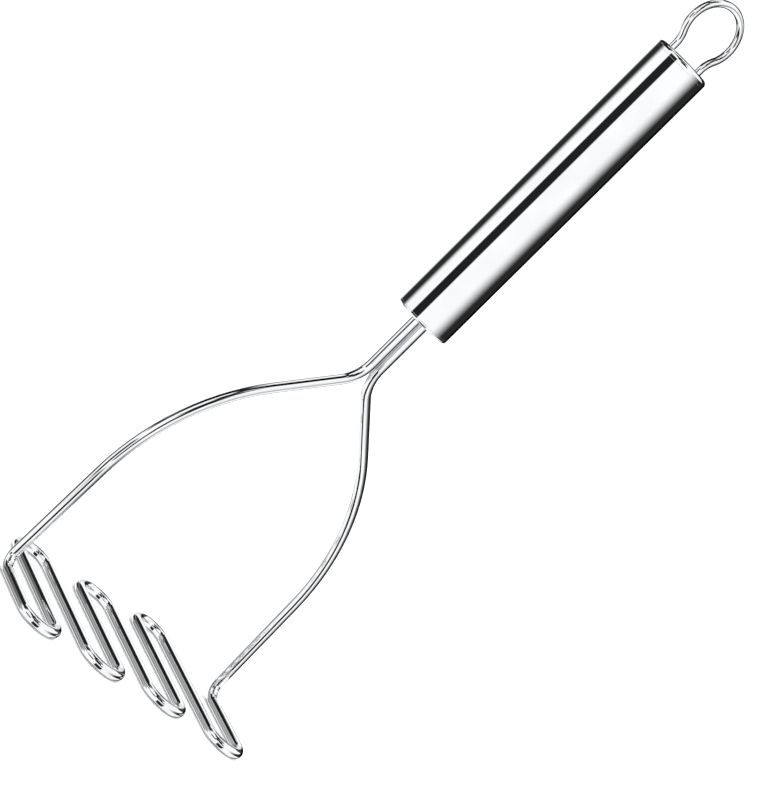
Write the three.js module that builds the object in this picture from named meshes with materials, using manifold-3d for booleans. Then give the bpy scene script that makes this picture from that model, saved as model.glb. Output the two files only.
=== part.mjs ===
import * as THREE from 'three';
import { mergeVertices } from 'three/addons/utils/BufferGeometryUtils.js';
import Module from 'manifold-3d';

// Wire potato masher: one bent steel wire forms the neck, two bowed arms and a serpentine mashing head,
// and a tubular handle closed by two plugs carries it. A thinner wire loop at the top hangs it up.
//
// Millimetres. +Z runs up the handle, +X across the head and +Y along its strokes. The origin is the
// middle of the mashing face, and the masher stands on the plane z = 0.

const wasm = await Module();
wasm.setup();

// ---------- driving dimensions ----------

const clearance = 0.3; // between touching pieces
const sag = 0.12; // how far a faceted bend may cut inside the true curve
const wireSides = 12;
const turnedSides = 64;
const boreSides = 24;
const toolLength = 20; // of a bar that cuts right through a plug

// Masher wire. The arms, the neck and the handle lie in one plane, a little behind the head's middle.
const wireDiameter = 3.5;
const armPlaneY = 4;
const neckX = (wireDiameter + clearance) / 2; // the two legs of the neck lie side by side
const forkZ = 116; // where the lines of neck and arm meet
const elbow = { x: 45.7, z: 74.8 }; // where the lines of the arm's slope and its upright meet
const forkRadius = 14;
const bowRadius = 77;
const footRadius = 4.6;

// Serpentine head. It is formed by hand, so strokes and bends are not quite evenly spaced.
const strokeX = [-48.25, -35, -21.5, -7, 7.5, 22, 35, 48.25];
const nearBendY = [-26, -28, -27, -30.5]; // joins strokes 1-2, 3-4, 5-6 and 7-8
const farBendY = [29, 27.5, 30.5]; // joins strokes 2-3, 4-5 and 6-7

// Handle
const handleRadius = 10;
const tubeWall = 0.6;
const handleBottomZ = 142;
const handleTopZ = 255.5;
const plugFlange = { bottom: 1.0, top: 2.2 };
const plugEdgeRadius = { bottom: 0.7, top: 1.5 };
const spigotDepth = 1.8;
const spigotRadius = handleRadius - tubeWall - clearance;

// Hanging loop
const loopWireDiameter = 2.5;
const loopRadius = 10;
const loopCentreZ = handleTopZ + 11.5;
const loopLegX = 7.1;
const loopLegRadius = 9; // the reverse bend between each leg and the loop

// Welds inside the plugs
const weldHeight = 1.6;
const weldWidth = 1.3;
const wireEndBeyondWeld = 0.8;

// ---------- materials ----------

function steel(color, roughness) {
  return new THREE.MeshStandardMaterial({ color, roughness, metalness: 1 });
}

// ---------- solids ----------

function toManifold(geometry) {
  const bare = geometry.clone();
  bare.deleteAttribute('normal');
  bare.deleteAttribute('uv');
  const merged = mergeVertices(bare, 1e-4);
  const vertProperties = Float32Array.from(merged.attributes.position.array);
  const triVerts = Uint32Array.from(merged.index.array);
  return new wasm.Manifold(new wasm.Mesh({ numProp: 3, vertProperties, triVerts }));
}

function fromManifold(solid) {
  const { vertProperties, triVerts } = solid.getMesh();
  const geometry = new THREE.BufferGeometry();
  geometry.setAttribute('position', new THREE.BufferAttribute(vertProperties, 3));
  geometry.setIndex(new THREE.BufferAttribute(triVerts, 1));
  return geometry;
}

function cut(geometry, tools) {
  const solid = tools.reduce((rest, tool) => rest.subtract(toManifold(tool)), toManifold(geometry));
  return fromManifold(solid);
}

// A profile of [radius, height] points turned about the Z axis.
function turned(profile, sides = turnedSides) {
  const points = profile.map(([radius, height]) => new THREE.Vector2(radius, height));
  return new THREE.LatheGeometry(points, sides).rotateX(Math.PI / 2);
}

// An upright round bar, used to drill the plugs and to trim the welds.
function uprightBar(x, radius, sides) {
  const bar = new THREE.CylinderGeometry(radius, radius, toolLength, sides);
  return bar.rotateX(Math.PI / 2).translate(x, 0, 0);
}

// ---------- wires ----------

// A stop is a place along a wire: its centre, the way the wire runs, and the way one flat of the
// many-sided section faces.
function stop(point, tangent, facing) {
  const flat = facing.clone().addScaledVector(tangent, -facing.dot(tangent)).normalize();
  return { point: point.clone(), tangent: tangent.clone().normalize(), facing: flat };
}

// The path of a wire, given stop by stop, so that straight runs need no steps in between.
class WirePath extends THREE.Curve {
  constructor(stops) {
    super();
    this.stops = stops;
  }

  getSpacedPoints() {
    return this.stops.map((s) => s.point);
  }

  computeFrenetFrames() {
    return {
      tangents: this.stops.map((s) => s.tangent),
      normals: this.stops.map((s) => s.facing),
      binormals: this.stops.map((s) => s.tangent.clone().cross(s.facing)),
    };
  }
}

function wireSolid(stops, diameter) {
  const corner = diameter / 2 / Math.cos(Math.PI / wireSides);
  const section = new THREE.Shape();
  for (let i = 0; i < wireSides; i += 1) {
    const angle = ((i + 0.5) * 2 * Math.PI) / wireSides;
    const place = [corner * Math.cos(angle), corner * Math.sin(angle)];
    if (i === 0) section.moveTo(...place);
    else section.lineTo(...place);
  }
  const path = new WirePath(stops);
  return new THREE.ExtrudeGeometry(section, { steps: stops.length - 1, extrudePath: path });
}

function flatsInBend(radius, angle) {
  return Math.ceil(angle / (2 * Math.acos(1 - sag / radius)));
}

// The stops of a bend that rounds the corner between two straight runs. The section turns from facing
// one way on the first run to facing another way on the second.
function bend(before, corner, after, radius, facingIn, facingOut) {
  const wayIn = corner.clone().sub(before).normalize();
  const wayOut = after.clone().sub(corner).normalize();
  const turn = wayIn.angleTo(wayOut);
  const start = corner.clone().addScaledVector(wayIn, -radius * Math.tan(turn / 2));
  const inward = wayOut.clone().addScaledVector(wayIn, -wayOut.dot(wayIn)).normalize();
  const centre = start.clone().addScaledVector(inward, radius);
  const count = flatsInBend(radius, turn);
  const stops = [];
  for (let i = 0; i <= count; i += 1) {
    const angle = (turn * i) / count;
    const quarter = ((Math.PI / 2) * i) / count;
    const point = centre
      .clone()
      .addScaledVector(inward, -radius * Math.cos(angle))
      .addScaledVector(wayIn, radius * Math.sin(angle));
    const tangent = wayIn.clone().multiplyScalar(Math.cos(angle)).addScaledVector(inward, Math.sin(angle));
    const facing = facingIn.equals(facingOut)
      ? facingIn
      : facingIn.clone().multiplyScalar(Math.cos(quarter)).addScaledVector(facingOut, Math.sin(quarter));
    stops.push(stop(point, tangent, facing));
  }
  return stops;
}

// The corners that the masher wire's straight runs meet at, with the radius that rounds each.
function masherCorners() {
  const level = wireDiameter / 2;
  const armPoint = (side, x, z) => new THREE.Vector3(side * x, armPlaneY, z);
  const legEndZ = handleBottomZ + plugFlange.bottom + spigotDepth + clearance + weldHeight + wireEndBeyondWeld;
  const arm = (side) => [
    { at: armPoint(side, neckX, legEndZ), facing: 'arm' },
    { at: armPoint(side, neckX, forkZ), radius: forkRadius, facing: 'arm' },
    { at: armPoint(side, elbow.x, elbow.z), radius: bowRadius, facing: 'arm' },
    { at: armPoint(side, strokeX.at(-1), level), radius: footRadius, facing: 'head' },
  ];
  const serpentine = [];
  for (let i = 0; i + 1 < strokeX.length; i += 1) {
    const y = i % 2 === 0 ? nearBendY[i / 2] : farBendY[(i - 1) / 2];
    const radius = (strokeX[i + 1] - strokeX[i]) / 2;
    serpentine.push({ at: new THREE.Vector3(strokeX[i], y, level), radius, facing: 'head' });
    serpentine.push({ at: new THREE.Vector3(strokeX[i + 1], y, level), radius, facing: 'head' });
  }
  const [rightLeg, rightFork, rightElbow, rightFoot] = arm(1);
  rightFoot.facing = 'arm';
  return [...arm(-1), ...serpentine, rightFoot, rightElbow, rightFork, rightLeg];
}

function masherWire() {
  const facings = { arm: new THREE.Vector3(0, 1, 0), head: new THREE.Vector3(0, 0, -1) };
  const corners = masherCorners();
  const first = corners[0];
  const last = corners.at(-1);
  const stops = [stop(first.at, corners[1].at.clone().sub(first.at), facings.arm)];
  for (let i = 1; i + 1 < corners.length; i += 1) {
    const [before, here, after] = [corners[i - 1], corners[i], corners[i + 1]];
    const bendStops = bend(
      before.at,
      here.at,
      after.at,
      here.radius,
      facings[before.facing],
      facings[here.facing],
    );
    // Two quarter bends with no straight run between them share a stop.
    if (bendStops[0].point.distanceTo(stops.at(-1).point) < 1e-6) bendStops.shift();
    stops.push(...bendStops);
  }
  stops.push(stop(last.at, last.at.clone().sub(corners.at(-2).at), facings.arm));
  return wireSolid(stops, wireDiameter);
}

// Stops along an arc in the plane of the arms, about a centre, from one angle to another.
function armPlaneArc(x, z, radius, from, to, count) {
  const way = Math.sign(to - from);
  const facing = new THREE.Vector3(0, 1, 0);
  return Array.from({ length: count + 1 }, (_, i) => {
    const angle = from + ((to - from) * i) / count;
    const point = new THREE.Vector3(x + radius * Math.cos(angle), armPlaneY, z + radius * Math.sin(angle));
    const tangent = new THREE.Vector3(-way * Math.sin(angle), 0, way * Math.cos(angle));
    return stop(point, tangent, facing);
  });
}

function hangingLoop() {
  const facing = new THREE.Vector3(0, 1, 0);
  const up = new THREE.Vector3(0, 0, 1);
  const legBendX = loopLegX + loopLegRadius;
  const lift = Math.sqrt((loopRadius + loopLegRadius) ** 2 - legBendX ** 2);
  const legBendZ = loopCentreZ - lift;
  const legAngle = Math.atan2(lift, legBendX);
  const legEndZ = handleTopZ - plugFlange.top - spigotDepth - clearance - weldHeight - wireEndBeyondWeld;
  const legFlats = flatsInBend(loopLegRadius, legAngle);
  // An odd number of flats round the loop puts one squarely at its top.
  const loopFlats = 2 * Math.floor(flatsInBend(loopRadius, Math.PI + 2 * legAngle) / 2) + 1;
  const left = armPlaneArc(-legBendX, legBendZ, loopLegRadius, 0, legAngle, legFlats);
  const round = armPlaneArc(0, loopCentreZ, loopRadius, Math.PI + legAngle, -legAngle, loopFlats);
  const right = armPlaneArc(legBendX, legBendZ, loopLegRadius, Math.PI - legAngle, Math.PI, legFlats);
  const stops = [
    stop(new THREE.Vector3(-loopLegX, armPlaneY, legEndZ), up, facing),
    ...left,
    ...round.slice(1, -1),
    ...right,
    stop(new THREE.Vector3(loopLegX, armPlaneY, legEndZ), up.clone().negate(), facing),
  ];
  return wireSolid(stops, loopWireDiameter);
}

// ---------- handle ----------

function handleTube() {
  const low = handleBottomZ + plugFlange.bottom + clearance;
  const high = handleTopZ - plugFlange.top - clearance;
  const inner = handleRadius - tubeWall;
  return turned([
    [inner, low],
    [handleRadius, low],
    [handleRadius, high],
    [inner, high],
    [inner, low],
  ]);
}

// A turned plug with its outer face on z = 0 and its spigot pointing up: a flange as wide as the tube,
// with a rounded edge, and a spigot that fits inside the tube.
function plugBlank(flange, edgeRadius) {
  const flats = 4;
  const edge = Array.from({ length: flats + 1 }, (_, i) => {
    const angle = ((Math.PI / 2) * i) / flats;
    return [
      handleRadius - edgeRadius + edgeRadius * Math.sin(angle),
      edgeRadius - edgeRadius * Math.cos(angle),
    ];
  });
  return turned([
    [0, 0],
    ...edge,
    [handleRadius, flange],
    [spigotRadius, flange],
    [spigotRadius, flange + spigotDepth],
    [0, flange + spigotDepth],
  ]);
}

// How far from a wire's centre a hole or weld round it starts.
function wireClearRadius(diameter) {
  return diameter / 2 / Math.cos(Math.PI / wireSides) + clearance;
}

function bottomPlug() {
  const radius = wireClearRadius(wireDiameter);
  const slotMiddle = new THREE.BoxGeometry(2 * neckX, 2 * radius, toolLength);
  const slotEnds = [-neckX, neckX].map((x) => uprightBar(x, radius, boreSides));
  const blank = plugBlank(plugFlange.bottom, plugEdgeRadius.bottom);
  return cut(blank, [slotMiddle, ...slotEnds]).translate(0, armPlaneY, handleBottomZ);
}

function topPlug() {
  const radius = wireClearRadius(loopWireDiameter);
  const holes = [-loopLegX, loopLegX].map((x) => uprightBar(x, radius, boreSides));
  const blank = plugBlank(plugFlange.top, plugEdgeRadius.top);
  return cut(blank, holes).rotateX(Math.PI).translate(0, armPlaneY, handleTopZ);
}

// ---------- welds ----------

// The bead round both legs of the neck, on the inner face of the bottom plug.
function neckWeld() {
  const outline = (shape, halfWidth) => {
    shape.absarc(neckX, 0, halfWidth, -Math.PI / 2, Math.PI / 2, false);
    shape.absarc(-neckX, 0, halfWidth, Math.PI / 2, (3 * Math.PI) / 2, false);
    return shape;
  };
  const inner = wireClearRadius(wireDiameter);
  const bevel = weldHeight / 4;
  const ring = outline(new THREE.Shape(), inner + weldWidth);
  ring.holes.push(outline(new THREE.Path(), inner));
  const bead = new THREE.ExtrudeGeometry(ring, {
    depth: weldHeight - 2 * bevel,
    curveSegments: boreSides / 2,
    bevelThickness: bevel,
    bevelSize: bevel,
    bevelOffset: -bevel,
    bevelSegments: 2,
  });
  const seat = handleBottomZ + plugFlange.bottom + spigotDepth + clearance;
  return bead.translate(0, armPlaneY, seat + bevel);
}

// The bead round one leg of the loop, on the inner face of the top plug, trimmed clear of the tube.
function loopWeld(side) {
  const inner = wireClearRadius(loopWireDiameter);
  const outer = inner + weldWidth;
  const bead = turned(
    [
      [inner, -weldHeight],
      [inner + weldWidth / 3, -weldHeight],
      [outer - weldWidth / 4, -weldHeight / 3],
      [outer, 0],
      [inner, 0],
      [inner, -weldHeight],
    ],
    boreSides,
  ).translate(side * loopLegX, 0, 0);
  const tubeSpace = uprightBar(0, spigotRadius, turnedSides);
  const trimmed = fromManifold(toManifold(bead).intersect(toManifold(tubeSpace)));
  const seat = handleTopZ - plugFlange.top - spigotDepth - clearance;
  return trimmed.translate(0, armPlaneY, seat);
}

// ---------- assembly ----------

const masher = new THREE.Group();

function add(name, geometry, material, place = [0, 0, 0]) {
  const mesh = new THREE.Mesh(geometry, material);
  mesh.name = name;
  mesh.position.set(...place);
  masher.add(mesh);
}

add('masher_wire', masherWire(), steel(0xdcdee0, 0.08));
add('handle_tube', handleTube(), steel(0xd8dadd, 0.07), [0, armPlaneY, 0]);
add('bottom_plug', bottomPlug(), steel(0xd2d4d7, 0.1));
add('top_plug', topPlug(), steel(0xd2d4d7, 0.1));
add('hanging_loop', hangingLoop(), steel(0xdcdee0, 0.08));
add('neck_weld', neckWeld(), steel(0x9c958b, 0.45));
add('loop_weld_left', loopWeld(-1), steel(0x9c958b, 0.45));
add('loop_weld_right', loopWeld(1), steel(0x9c958b, 0.45));

export default masher;
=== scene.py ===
import math
from collections import namedtuple

import bmesh
import bpy
import numpy as np
from mathutils import Matrix, Vector


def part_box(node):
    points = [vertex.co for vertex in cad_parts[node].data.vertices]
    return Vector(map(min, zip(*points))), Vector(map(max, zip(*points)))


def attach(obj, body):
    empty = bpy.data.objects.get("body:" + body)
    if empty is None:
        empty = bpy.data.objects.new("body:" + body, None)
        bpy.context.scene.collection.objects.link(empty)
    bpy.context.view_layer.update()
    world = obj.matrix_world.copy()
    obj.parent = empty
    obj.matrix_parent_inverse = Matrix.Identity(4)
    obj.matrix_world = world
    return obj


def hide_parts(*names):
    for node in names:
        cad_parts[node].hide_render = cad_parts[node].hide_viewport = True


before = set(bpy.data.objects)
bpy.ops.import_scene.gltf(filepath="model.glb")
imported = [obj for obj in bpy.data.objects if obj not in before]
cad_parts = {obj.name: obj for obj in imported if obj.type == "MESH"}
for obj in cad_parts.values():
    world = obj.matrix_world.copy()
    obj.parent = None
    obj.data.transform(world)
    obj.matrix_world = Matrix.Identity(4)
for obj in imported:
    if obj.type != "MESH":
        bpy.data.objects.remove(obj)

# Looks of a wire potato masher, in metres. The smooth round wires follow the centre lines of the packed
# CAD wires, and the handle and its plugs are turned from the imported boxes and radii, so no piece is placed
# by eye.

MM = 0.001
BODY = "root"
PLACES_MATCH = 0.001 * MM  # corners closer than this are one
SAME_HEIGHT = 0.01 * MM  # corners this close in height are on the same end of a wire
NO_BEND = 1e-9  # per metre: a path that bends less than this is straight

# ---------- driving values ----------

WIRE_CAD_SIDES = 12
WIRE_SIDES = 44
BEND_STEP = math.radians(3.5)  # how far a wire turns between two rings
RUN_STEP = 5 * MM  # the longest step along a straight run
BEND_FLATTENING = 0.12  # how much a bend presses its inner side in, for its strain
CRUMPLE_STRAIN = 0.3  # a tighter bend than this crumples on its inner side
CRUMPLE_DEPTH = 0.07 * MM
CRUMPLE_PITCH = 1.3 * MM
END_FACE = 0.93  # how wide the flat of a wire's end is, for the wire
END_BULGE = 0.02 * MM  # how far that flat stands out, which bevels the end's edge

TURNED_SIDES = 192
SEAM = 0.015 * MM  # left between the tube and a plug
TUBE_EDGE = 0.04 * MM  # radius of a rounded edge, as the next two are
TOP_EDGE = 1.5 * MM
BOTTOM_EDGE = 0.7 * MM
TUBE_EDGE_STEPS = 4
PLUG_EDGE_STEPS = 10
EDGE_GUARD = 0.04 * MM  # a narrow ring that keeps a straight side's shading true up to its rounded edge
WIRE_FIT = 0.02 * MM  # between a wire and its hole
CAD_GAP = 0.3 * MM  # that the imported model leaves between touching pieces
DRILL_LENGTH = 20 * MM
SHARP = math.radians(35)  # a greater angle between two faces is a sharp edge

# What sets the steels apart. lines stretches the fine lines that drawing or polishing left, as (along,
# round), where the larger number is the way across them.
Finish = namedtuple("Finish", "tint shade roughness lines haze")
FINISHES = {
    "polished_wire": Finish((0.84, 0.85, 0.86), (0.79, 0.80, 0.82), 0.03, (0.05, 4), 0.03),
    "polished_tube": Finish((0.85, 0.86, 0.87), (0.80, 0.81, 0.83), 0.025, (3, 0.04), 0.05),
    "polished_plug": Finish((0.83, 0.84, 0.85), (0.77, 0.78, 0.80), 0.04, (6, 0.02), 0.05),
}

# The patterns in the steels. A scale is per metre, and a range is where the noise brings its pattern in,
# from not at all to fully. A dulling is what a pattern adds to the roughness.
CLOUD_SCALE = 60
CLOUD_DETAIL = 4
CLOUD_RANGE = (0.35, 0.65)
SMUDGE_SCALE = 38
SMUDGE_DETAIL = 5
SMUDGE_RANGE = (0.52, 0.72)
LINE_SCALE = 900
LINE_DETAIL = 2
LINE_RANGE = (0.6, 0.8)
LINE_DULLING = 0.04
LINE_DEPTH = 0.02 * MM
LINE_BUMP = 0.03
HAIRLINE_SCALE = 160
HAIRLINE_DETAIL = 1
HAIRLINE_MIDDLE = 0.5  # a hairline runs where the noise has this value
HAIRLINE_WIDTH = 0.006
HAIRLINE_DULLING = 0.03
WORN_EDGE_RANGE = (0.53, 0.62)  # of Pointiness
WORN_EDGE_DULLING = 0.04

WELD_STRAW = (0.40, 0.33, 0.24)
WELD_BLUE = (0.27, 0.29, 0.34)
WELD_HEAT_SCALE = 240
WELD_HEAT_DETAIL = 3
WELD_HEAT_RANGE = (0.4, 0.6)
WELD_RIPPLE_SCALE = 900
WELD_RIPPLE_DISTORTION = 3
WELD_RIPPLE_DEPTH = 0.1 * MM
WELD_RIPPLE_BUMP = 0.6
WELD_ROUGHNESS = (0.32, 0.5)

# The camera, in degrees and metres.
VIEW_AZIMUTH = -39.36
VIEW_ELEVATION = 7.73
VIEW_ROLL = 45.31
VIEW_AIM = (12.45 * MM, 4 * MM, 115.7 * MM)
VIEW_DISTANCE = 789.4 * MM
LENS = 112.5  # millimetres of focal length
SENSOR = 36  # millimetres wide

# The studio: a white tent round the object, which the steel mirrors.
WHITE = 1.16  # how bright the tent is
BACKDROP = 1.2  # what the camera sees behind the object
FLOOR_SIDE = 6.0
FLOOR_GAP = 0.1 * MM
FLOOR_TINT = (0.93, 0.93, 0.93)
LAMP_ANGLE = math.radians(80)
LAMP_STRENGTH = 3.0

# The dark flags hung in the tent, in degrees: where each is dark, and how far it fades outside that.
# Azimuth 0 is +Y and 90 is +X. The handle mirrors only what stands within a few degrees of the horizon,
# so the flags well above and below it show only on the wires and on the plugs' rims and faces.
Flag = namedtuple("Flag", "azimuth azimuth_fade elevation elevation_fade darkness")
FLAGS = [
    Flag((-119, -91), (4, 4), (-9, 6), (3, 4), 0.985),
    Flag((-34, -8), (24, 18), (-12, 10), (6, 6), 0.975),
    Flag((-41, -6), (3, 5), (17, 42), (4, 6), 0.985),
    Flag((-60, -18), (6, 6), (-37, -10), (6, 3), 0.6),
    Flag((-16, 2), (4, 4), (-46, -38), (3, 3), 0.95),
    Flag((46, 114), (6, 60), (-14, 13), (4, 5), 0.98),
    Flag((46, 76), (6, 6), (-36, 36), (6, 6), 0.95),
    Flag((-166, -138), (4, 4), (10, 24), (3, 3), 0.98),
    Flag((-155, -121), (5, 5), (25, 44), (4, 4), 0.98),
    Flag((-170, -75), (8, 8), (52, 69), (4, 3), 0.985),
    Flag((-126, -104), (4, 4), (42, 76), (4, 4), 0.98),
    Flag((-72, -38), (4, 4), (14, 52), (4, 6), 0.98),
    Flag((-170, -138), (4, 4), (-52, -11.5), (6, 3), 0.985),
    Flag((-178, -134), (4, 6), (-74, -49), (3, 3), 0.985),
    Flag((16, 62), (8, 8), (46, 80), (4, 4), 0.97),
    Flag((16, 62), (8, 8), (-80, -46), (4, 4), 0.97),
    Flag((8, 60), (6, 6), (8, 17), (2, 6), 0.3),
]
# Small flags stand below and above the handle's height, where the handle doesn't mirror them: one in
# front of the left arm, one in front of the hanging loop and one close behind it. Each is upright and
# faces a point (x, y) of the object.
Card = namedtuple("Card", "name centre faces width height")
CARDS = [
    Card("arm_card", (-114 * MM, -130 * MM, 65 * MM), (-45 * MM, 4 * MM), 64 * MM, 70 * MM),
    Card("loop_card", (-38 * MM, -67 * MM, 283 * MM), (0, 4 * MM), 26 * MM, 36 * MM),
    Card("loop_backing", (9 * MM, 15 * MM, 287 * MM), (0, 4 * MM), 70 * MM, 56 * MM),
]
CARD_TINT = (0.02, 0.02, 0.02)
PANEL_ROUGHNESS = 0.9

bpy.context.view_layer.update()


# ---------- node trees ----------

class Nodes:
    """Short calls for building a node tree."""

    def __init__(self, tree):
        self.tree = tree
        tree.nodes.clear()

    def add(self, kind, **settings):
        node = self.tree.nodes.new(kind)
        for name, value in settings.items():
            setattr(node, name, value)
        return node

    def link(self, source, target):
        self.tree.links.new(source, target)

    def fill(self, socket, value):
        """Sets an input socket, or links it where the value is another node's output."""
        if isinstance(value, bpy.types.NodeSocket):
            self.link(value, socket)
        else:
            socket.default_value = value

    def math(self, operation, a, b=0.0):
        node = self.add("ShaderNodeMath", operation=operation)
        self.fill(node.inputs[0], a)
        self.fill(node.inputs[1], b)
        return node.outputs[0]

    def ramp(self, value, start, end, low=0.0, high=1.0):
        """low up to start, high from end on, and a smooth rise between them."""
        node = self.add("ShaderNodeMapRange", interpolation_type="SMOOTHSTEP")
        self.fill(node.inputs["Value"], value)
        node.inputs["From Min"].default_value = start
        node.inputs["From Max"].default_value = end
        node.inputs["To Min"].default_value = low
        node.inputs["To Max"].default_value = high
        return node.outputs["Result"]

    def within(self, value, limits, fade):
        """1 inside the limits, fading to 0 outside them."""
        return self.math("MULTIPLY", self.ramp(value, limits[0] - fade[0], limits[0]),
                         self.ramp(value, limits[1], limits[1] + fade[1], 1.0, 0.0))

    def stretched(self, vector, along, round_):
        node = self.add("ShaderNodeMapping")
        self.link(vector, node.inputs["Vector"])
        node.inputs["Scale"].default_value = (along, round_, 1)
        return node.outputs["Vector"]

    def noise(self, vector, scale, detail):
        node = self.add("ShaderNodeTexNoise")
        self.link(vector, node.inputs["Vector"])
        node.inputs["Scale"].default_value = scale
        node.inputs["Detail"].default_value = detail
        return node.outputs["Fac"]

    def bump(self, height, distance, strength):
        node = self.add("ShaderNodeBump")
        self.link(height, node.inputs["Height"])
        node.inputs["Distance"].default_value = distance
        node.inputs["Strength"].default_value = strength
        return node.outputs["Normal"]

    def background(self, strength):
        """A white background light."""
        node = self.add("ShaderNodeBackground")
        node.inputs["Color"].default_value = (1, 1, 1, 1)
        self.fill(node.inputs["Strength"], strength)
        return node

    def output(self, shader, kind="ShaderNodeOutputMaterial"):
        self.link(shader.outputs[0], self.add(kind).inputs["Surface"])

    def colour_mix(self, factor, a, b):
        node = self.add("ShaderNodeMix", data_type="RGBA")
        self.fill(node.inputs["Factor"], factor)
        node.inputs["A"].default_value = (*a, 1)
        node.inputs["B"].default_value = (*b, 1)
        return node.outputs["Result"]


# ---------- materials ----------

def new_material(name):
    material = bpy.data.materials.new(name)
    material.use_nodes = True
    return material, Nodes(material.node_tree)


def polished_steel(name, finish):
    """Mirror-polished steel: the fine lines of its making, a few hairline scratches, faint clouding,
    handling haze and a duller wear along the edges."""
    material, n = new_material(name)
    grain = n.add("ShaderNodeUVMap", uv_map="grain").outputs["UV"]
    place = n.add("ShaderNodeTexCoord").outputs["Object"]
    cloud = n.ramp(n.noise(place, CLOUD_SCALE, CLOUD_DETAIL), *CLOUD_RANGE)
    smudge = n.ramp(n.noise(place, SMUDGE_SCALE, SMUDGE_DETAIL), *SMUDGE_RANGE)
    lines = n.noise(n.stretched(grain, *finish.lines), LINE_SCALE, LINE_DETAIL)
    drift = n.math("SUBTRACT", n.noise(place, HAIRLINE_SCALE, HAIRLINE_DETAIL), HAIRLINE_MIDDLE)
    hairlines = n.ramp(n.math("ABSOLUTE", drift), 0.0, HAIRLINE_WIDTH, 1.0, 0.0)
    edges = n.ramp(n.add("ShaderNodeNewGeometry").outputs["Pointiness"], *WORN_EDGE_RANGE)
    roughness = n.ramp(lines, *LINE_RANGE, finish.roughness, finish.roughness + LINE_DULLING)
    dulled = ((smudge, finish.haze), (hairlines, HAIRLINE_DULLING), (edges, WORN_EDGE_DULLING))
    for pattern, dulling in dulled:
        roughness = n.math("ADD", roughness, n.math("MULTIPLY", pattern, dulling))
    shader = n.add("ShaderNodeBsdfPrincipled")
    shader.inputs["Metallic"].default_value = 1.0
    n.link(n.colour_mix(cloud, finish.shade, finish.tint), shader.inputs["Base Color"])
    n.link(roughness, shader.inputs["Roughness"])
    n.link(n.bump(lines, LINE_DEPTH, LINE_BUMP), shader.inputs["Normal"])
    n.output(shader)
    return material


def weld_steel():
    """A bead as it was laid: rippled, dull, and tinted straw and blue by the heat."""
    material, n = new_material("weld_steel")
    place = n.add("ShaderNodeTexCoord").outputs["Object"]
    heat = n.ramp(n.noise(place, WELD_HEAT_SCALE, WELD_HEAT_DETAIL), *WELD_HEAT_RANGE)
    wave = n.add("ShaderNodeTexWave", wave_type="RINGS", rings_direction="Z")
    n.link(place, wave.inputs["Vector"])
    wave.inputs["Scale"].default_value = WELD_RIPPLE_SCALE
    wave.inputs["Distortion"].default_value = WELD_RIPPLE_DISTORTION
    ripples = wave.outputs["Fac"]
    shader = n.add("ShaderNodeBsdfPrincipled")
    shader.inputs["Metallic"].default_value = 1.0
    n.link(n.colour_mix(heat, WELD_STRAW, WELD_BLUE), shader.inputs["Base Color"])
    n.link(n.ramp(ripples, 0.0, 1.0, *WELD_ROUGHNESS), shader.inputs["Roughness"])
    n.link(n.bump(ripples, WELD_RIPPLE_DEPTH, WELD_RIPPLE_BUMP), shader.inputs["Normal"])
    n.output(shader)
    return material


steels = {slot: polished_steel(slot, finish) for slot, finish in FINISHES.items()}


# ---------- reading the frame ----------

def welded(node):
    """The CAD node's mesh with the corners that share a place made one."""
    mesh = bmesh.new()
    mesh.from_mesh(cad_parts[node].data)
    bmesh.ops.remove_doubles(mesh, verts=mesh.verts, dist=PLACES_MATCH)
    mesh.verts.ensure_lookup_table()
    return mesh


def rings_from(ring):
    """The places of a wire's corners, ring by ring along its edges from the ring at one end."""
    seen, rings = set(ring), []
    while ring:
        rings.append(np.array([v.co for v in ring]))
        beside = {e.other_vert(v) for v in ring for e in v.link_edges} - seen
        ring = sorted(beside, key=lambda v: v.index)
        seen |= beside
    return rings


def wire_stops(node, ends):
    """The centre line of a CAD wire from its left end to its right end, as a list of (centre, tangent), and
    the wire's radius. ends says whether both ends are at the node's "top" or at its "bottom"."""
    mesh = welded(node)
    heights = [v.co.z for v in mesh.verts]
    end = max(heights) if ends == "top" else min(heights)
    rings = rings_from([v for v in mesh.verts if abs(v.co.z - end) < SAME_HEIGHT and v.co.x < 0])
    mesh.free()
    assert all(len(r) == WIRE_CAD_SIDES for r in rings), f"{node} is no plain wire"
    centres = [r.mean(0) for r in rings]
    corner = np.linalg.norm(rings[0] - centres[0], axis=1).mean()
    stops = []
    for i, (points, centre) in enumerate(zip(rings, centres)):
        onward = centres[min(i + 1, len(centres) - 1)] - centres[max(i - 1, 0)]
        tangent = np.linalg.svd(points - centre)[2][2]
        stops.append((centre, tangent * math.copysign(1, tangent @ onward)))
    return stops, corner * math.cos(math.pi / WIRE_CAD_SIDES)


def handle_axis():
    """The place (x, y) of the handle's axis."""
    low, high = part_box("handle_tube")
    return (low.x + high.x) / 2, (low.y + high.y) / 2


def radii(node):
    """The smallest and the largest distance of a node's corners from the handle's axis."""
    x, y = handle_axis()
    away = [math.hypot(v.co.x - x, v.co.y - y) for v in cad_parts[node].data.vertices]
    return min(away), max(away)


# ---------- mesh code ----------

def piece(name, vertices, faces, stands_for, slot, coordinates):
    """A smooth piece of the object, riding on its body. coordinates gives each vertex's place along and
    round the piece, in metres, as a UV map; a face that closes the round takes the far side's value."""
    mesh = bpy.data.meshes.new(name)
    mesh.from_pydata([tuple(v) for v in vertices], [], faces)
    mesh.validate()
    write_grain(mesh, coordinates)
    face_outwards(mesh)
    mesh.shade_smooth()
    mesh.set_sharp_from_angle(angle=SHARP)
    mesh.materials.append(steels[slot])
    obj = bpy.data.objects.new(name, mesh)
    bpy.context.scene.collection.objects.link(obj)
    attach(obj, BODY)
    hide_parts(stands_for)
    return obj


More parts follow.
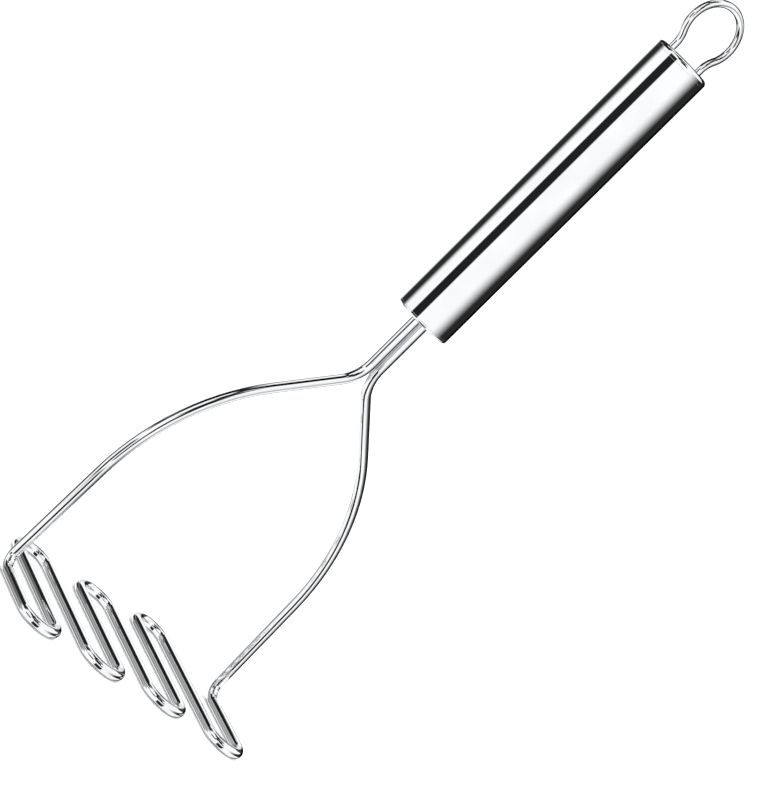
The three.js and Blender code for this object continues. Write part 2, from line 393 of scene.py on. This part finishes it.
def face_outwards(mesh):
    """Turns every face of a closed mesh to point out of it."""
    body = bmesh.new()
    body.from_mesh(mesh)
    bmesh.ops.recalc_face_normals(body, faces=body.faces)
    body.to_mesh(mesh)
    body.free()


def write_grain(mesh, coordinates):
    """Writes the UV map grain from the (along, round, girth) of each vertex."""
    grain = mesh.uv_layers.new(name="grain")
    for face in mesh.polygons:
        corners = [coordinates[mesh.loops[i].vertex_index] for i in face.loop_indices]
        latest = max(c[1] for c in corners)
        for i, (along, round_, girth) in zip(face.loop_indices, corners):
            wrapped = round_ + girth if latest - round_ > girth / 2 else round_
            grain.data[i].uv = (along, wrapped)


def smooth_path(stops):
    """The smooth curve through a CAD wire's stops: (point, tangent) about every BEND_STEP."""
    path = [stops[0]]
    for (a, way_a), (b, way_b) in zip(stops, stops[1:]):
        chord = np.linalg.norm(b - a)
        turn = math.acos(min(1.0, way_a @ way_b))
        count = max(1, math.ceil(turn / BEND_STEP), math.ceil(chord / RUN_STEP))
        reach = chord / math.cos(turn / 4) ** 2
        for i in range(1, count + 1):
            t = i / count
            point = ((2 * t**3 - 3 * t**2 + 1) * a + (t**3 - 2 * t**2 + t) * reach * way_a
                     + (3 * t**2 - 2 * t**3) * b + (t**3 - t**2) * reach * way_b)
            way = ((6 * t**2 - 6 * t) * (a - b) + (3 * t**2 - 4 * t + 1) * reach * way_a
                   + (3 * t**2 - 2 * t) * reach * way_b)
            path.append((point, way / np.linalg.norm(way)))
    return path


def bending(path):
    """For each point of a path, the vector to the inside of its bend, one over the bend's radius long."""
    inward = []
    for i in range(len(path)):
        before, after = path[max(i - 1, 0)], path[min(i + 1, len(path) - 1)]
        inward.append((after[1] - before[1]) / np.linalg.norm(after[0] - before[0]))
    return inward


def carried_sides(path):
    """For each point of a path, a direction across it that doesn't twist round it."""
    across = Vector((0, 1, 0))
    sides = []
    for i, (_, way) in enumerate(path):
        if i:
            across.rotate(Vector(path[i - 1][1]).rotation_difference(Vector(way)))
        side = np.array(across - Vector(way) * across.dot(Vector(way)))
        sides.append(side / np.linalg.norm(side))
    return sides


def wire_section(stop, side, inward, radius, along):
    """The corners of a wire round one point of its path, pressed in on the inside of its bend."""
    point, way = stop
    up = np.cross(way, side)
    curvature = np.linalg.norm(inward)
    inside = inward / max(curvature, NO_BEND)
    strain = curvature * radius
    corners = []
    for k in range(WIRE_SIDES):
        angle = 2 * math.pi * k / WIRE_SIDES
        out = math.cos(angle) * side + math.sin(angle) * up
        pressed = max(0.0, out @ inside) ** 2
        depth = BEND_FLATTENING * strain * radius * pressed
        if strain > CRUMPLE_STRAIN:
            wave = 0.5 + 0.5 * math.sin(2 * math.pi * along / CRUMPLE_PITCH)
            depth += CRUMPLE_DEPTH * pressed * wave
        corners.append(point + (radius - depth) * out)
    return corners


def wire(name, stops, radius, stands_for, slot):
    """A round wire. Its bends are pressed in a little on the inside, and the tightest ones crumple."""
    path = smooth_path(stops)
    vertices, coordinates, rings = [], [], []
    along, girth = 0.0, 2 * math.pi * radius
    before = path[0][0]
    for stop, side, inward in zip(path, carried_sides(path), bending(path)):
        along += np.linalg.norm(stop[0] - before)
        before = stop[0]
        rings.append(range(len(vertices), len(vertices) + WIRE_SIDES))
        vertices += wire_section(stop, side, inward, radius, along)
        coordinates += [(along, girth * k / WIRE_SIDES, girth) for k in range(WIRE_SIDES)]
    faces = [q for a, b in zip(rings, rings[1:]) for q in band(a, b)]
    faces += cap(vertices, coordinates, rings[0], path[0], -1)
    faces += cap(vertices, coordinates, rings[-1], path[-1], 1)
    piece(name, squeezed(vertices, stands_for), faces, stands_for, slot, coordinates)


def squeezed(vertices, node):
    """The vertices with their heights fitted into the node's box, where the smooth curve leaves it."""
    low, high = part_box(node)
    top = max(v[2] for v in vertices)
    fit = min(1.0, (high.z - low.z) / (top - low.z))
    return [(v[0], v[1], low.z + (v[2] - low.z) * fit) for v in vertices]


def band(a, b):
    """Quads between two rings of the same count."""
    count = len(a)
    return [(a[k], a[(k + 1) % count], b[(k + 1) % count], b[k]) for k in range(count)]


def cap(vertices, coordinates, ring, end, way):
    """Closes a wire's end with a flat face inside a small bevel. way is 1 at the far end of the wire and
    -1 at the near one."""
    centre, tangent = end
    inner = list(range(len(vertices), len(vertices) + len(ring)))
    for i in ring:
        vertices.append(centre + (vertices[i] - centre) * END_FACE + tangent * way * END_BULGE)
        coordinates.append(coordinates[i])
    return band(ring, inner) + [tuple(inner)]


def arc(radius, height, size, start, end, steps):
    """Points (radius, height) of a rounded edge about a centre, from one angle to another in degrees."""
    angles = [math.radians(start + (end - start) * i / steps) for i in range(steps + 1)]
    return [(radius + size * math.cos(a), height + size * math.sin(a)) for a in angles]


def turned(name, profile, stands_for, slot, closed=False):
    """A profile of (radius, height) turned about the handle's axis. A closed profile makes a tube."""
    x, y = handle_axis()
    vertices, coordinates, rings = [], [], []
    along, girth = 0.0, 2 * math.pi * max(r for r, _ in profile)
    before = profile[0]
    for r, z in profile:
        along += math.dist((r, z), before)
        before = (r, z)
        first = len(vertices)
        count = TURNED_SIDES if r else 1  # a place on the axis is one corner
        for k in range(count):
            angle = 2 * math.pi * k / TURNED_SIDES
            vertices.append((x + r * math.cos(angle), y + r * math.sin(angle), z))
            coordinates.append((along, girth * k / TURNED_SIDES, girth))
        rings.append([first + k % count for k in range(TURNED_SIDES)])
    pairs = list(zip(rings, rings[1:])) + ([(rings[-1], rings[0])] if closed else [])
    faces = [tuple(dict.fromkeys(quad)) for a, b in pairs for quad in band(a, b)]
    faces = [face for face in faces if len(face) > 2]
    return piece(name, vertices, faces, stands_for, slot, coordinates)


# ---------- pieces ----------

def masher_wire():
    stops, radius = wire_stops("masher_wire", ends="top")
    wire("masher_wire_round", stops, radius, "masher_wire", "polished_wire")


def hanging_loop():
    stops, radius = wire_stops("hanging_loop", ends="bottom")
    wire("hanging_loop_round", stops, radius, "hanging_loop", "polished_wire")


def seams():
    """The heights of the seams between the tube and the bottom plug, and the tube and the top plug."""
    low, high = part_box("handle_tube")
    return low.z - CAD_GAP / 2, high.z + CAD_GAP / 2


def handle_tube():
    inner, outer = radii("handle_tube")
    bottom, top = seams()
    edge, half = TUBE_EDGE, SEAM / 2
    profile = [(inner, bottom + half)]
    profile += arc(outer - edge, bottom + half + edge, edge, -90, 0, TUBE_EDGE_STEPS)
    profile += [(outer, bottom + half + edge + EDGE_GUARD), (outer, top - half - edge - EDGE_GUARD)]
    profile += arc(outer - edge, top - half - edge, edge, 0, 90, TUBE_EDGE_STEPS)
    profile += [(inner, top - half)]
    turned("handle_tube_polished", profile, "handle_tube", "polished_tube", closed=True)


def plug(node, edge, wire_node, ends):
    """A plug: its outer face has a rounded edge, its flange is as wide as the tube and its spigot fits in
    the tube. The wire that passes through it has both ends at its own "top" or "bottom"."""
    inner, outer = radii("handle_tube")
    low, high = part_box(node)
    face, tip = (low.z, high.z) if ends == "top" else (high.z, low.z)
    way = 1 if tip > face else -1
    seam = seams()[0 if way > 0 else 1] - way * SEAM / 2
    rounded = arc(outer - edge, face + way * edge, edge, -90 * way, 0, PLUG_EDGE_STEPS)
    spigot = inner - SEAM
    side = face + way * (edge + EDGE_GUARD)
    profile = [(0, face), (outer - edge - EDGE_GUARD, face), *rounded, (outer, side), (outer, seam),
               (spigot, seam), (spigot, tip), (0, tip)]
    if way < 0:
        profile.reverse()
    obj = turned(node + "_polished", profile, node, "polished_plug")
    stops, radius = wire_stops(wire_node, ends)
    for centre, _ in (stops[0], stops[-1]):
        drill(obj, centre, radius + WIRE_FIT)


def drill(obj, centre, radius):
    """Cuts an upright round hole through a piece."""
    bpy.ops.mesh.primitive_cylinder_add(vertices=WIRE_SIDES * 2, radius=radius, depth=DRILL_LENGTH,
                                        location=(centre[0], centre[1], obj.bound_box[0][2]))
    tool = bpy.context.object
    cut = obj.modifiers.new("hole", "BOOLEAN")
    cut.operation = "DIFFERENCE"
    cut.solver = "EXACT"
    cut.object = tool
    settled = bpy.data.meshes.new_from_object(obj.evaluated_get(bpy.context.evaluated_depsgraph_get()))
    obj.modifiers.clear()
    settled.set_sharp_from_angle(angle=SHARP)
    obj.data = settled
    bpy.data.objects.remove(tool)


masher_wire()
hanging_loop()
handle_tube()
plug("bottom_plug", BOTTOM_EDGE, "masher_wire", "top")
plug("top_plug", TOP_EDGE, "hanging_loop", "bottom")

weld = weld_steel()
for node in ("neck_weld", "loop_weld_left", "loop_weld_right"):
    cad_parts[node].material_slots[0].material = weld


# ---------- camera ----------

def make_camera():
    """Looks at the object from the photograph's angle."""
    azimuth, elevation = math.radians(VIEW_AZIMUTH), math.radians(VIEW_ELEVATION)
    back = Vector((math.sin(azimuth) * math.cos(elevation), -math.cos(azimuth) * math.cos(elevation),
                   math.sin(elevation)))
    data = bpy.data.cameras.new("camera")
    data.lens = LENS
    data.sensor_width = SENSOR
    camera = bpy.data.objects.new("camera", data)
    upright = (-back).to_track_quat("-Z", "Y").to_matrix()
    turned_round = upright @ Matrix.Rotation(math.radians(VIEW_ROLL), 3, "Z")
    place = Vector(VIEW_AIM) + back * VIEW_DISTANCE
    camera.matrix_world = Matrix.Translation(place) @ turned_round.to_4x4()
    bpy.context.scene.collection.objects.link(camera)
    bpy.context.scene.camera = camera


# ---------- studio ----------

def tent_light(n):
    """How bright the tent and its flags are, in each direction."""
    way = n.add("ShaderNodeSeparateXYZ")
    n.link(n.add("ShaderNodeTexCoord").outputs["Generated"], way.inputs[0])
    azimuth = n.math("DEGREES", n.math("ARCTAN2", way.outputs["X"], way.outputs["Y"]))
    elevation = n.math("DEGREES", n.math("ARCSINE", way.outputs["Z"]))
    light = WHITE
    for flag in FLAGS:
        inside = n.math("MULTIPLY", n.within(azimuth, flag.azimuth, flag.azimuth_fade),
                        n.within(elevation, flag.elevation, flag.elevation_fade))
        passed = n.math("SUBTRACT", 1.0, n.math("MULTIPLY", inside, flag.darkness))
        light = n.math("MULTIPLY", passed, light)
    return light


def make_world():
    """What the steel mirrors is the tent with its flags. The camera sees a plain backdrop."""
    world = bpy.data.worlds.new("studio")
    world.use_nodes = True
    bpy.context.scene.world = world
    n = Nodes(world.node_tree)
    seen = n.add("ShaderNodeMixShader")
    n.link(n.add("ShaderNodeLightPath").outputs["Is Camera Ray"], seen.inputs[0])
    n.link(n.background(tent_light(n)).outputs[0], seen.inputs[1])
    n.link(n.background(BACKDROP).outputs[0], seen.inputs[2])
    n.output(seen, "ShaderNodeOutputWorld")


def flat_panel(name, tint, width, height):
    """A plain matt rectangle of the stage, about its own middle. It lies flat until it is turned."""
    x, y = width / 2, height / 2
    mesh = bpy.data.meshes.new(name)
    mesh.from_pydata([(-x, -y, 0), (x, -y, 0), (x, y, 0), (-x, y, 0)], [], [(0, 1, 2, 3)])
    material, n = new_material(name)
    shader = n.add("ShaderNodeBsdfPrincipled")
    shader.inputs["Base Color"].default_value = (*tint, 1)
    shader.inputs["Roughness"].default_value = PANEL_ROUGHNESS
    shader.inputs["Specular IOR Level"].default_value = 0.0
    n.output(shader)
    mesh.materials.append(material)
    panel = bpy.data.objects.new(name, mesh)
    bpy.context.scene.collection.objects.link(panel)
    return panel


def make_floor():
    """The steel mirrors the white tent below it instead of the floor."""
    floor = flat_panel("floor", FLOOR_TINT, FLOOR_SIDE, FLOOR_SIDE)
    floor.location.z = -FLOOR_GAP
    floor.visible_glossy = False


def make_card(card):
    """Only the steel sees a card, as a dark patch."""
    panel = flat_panel(card.name, CARD_TINT, card.width, card.height)
    panel.location = card.centre
    facing = Vector((card.faces[0] - card.centre[0], card.faces[1] - card.centre[1], 0))
    panel.rotation_euler = facing.to_track_quat("Z", "Y").to_euler()
    panel.visible_camera = False
    panel.visible_shadow = False
    panel.visible_diffuse = False


def make_lamp():
    """A very wide, soft light from above, which isn't mirrored in the steel."""
    light = bpy.data.lights.new("overhead", "SUN")
    light.angle = LAMP_ANGLE
    light.energy = LAMP_STRENGTH
    lamp = bpy.data.objects.new("overhead", light)
    lamp.visible_glossy = False
    bpy.context.scene.collection.objects.link(lamp)


make_camera()
make_world()
make_floor()
for card in CARDS:
    make_card(card)
make_lamp()
bpy.context.scene.view_settings.view_transform = "Standard"
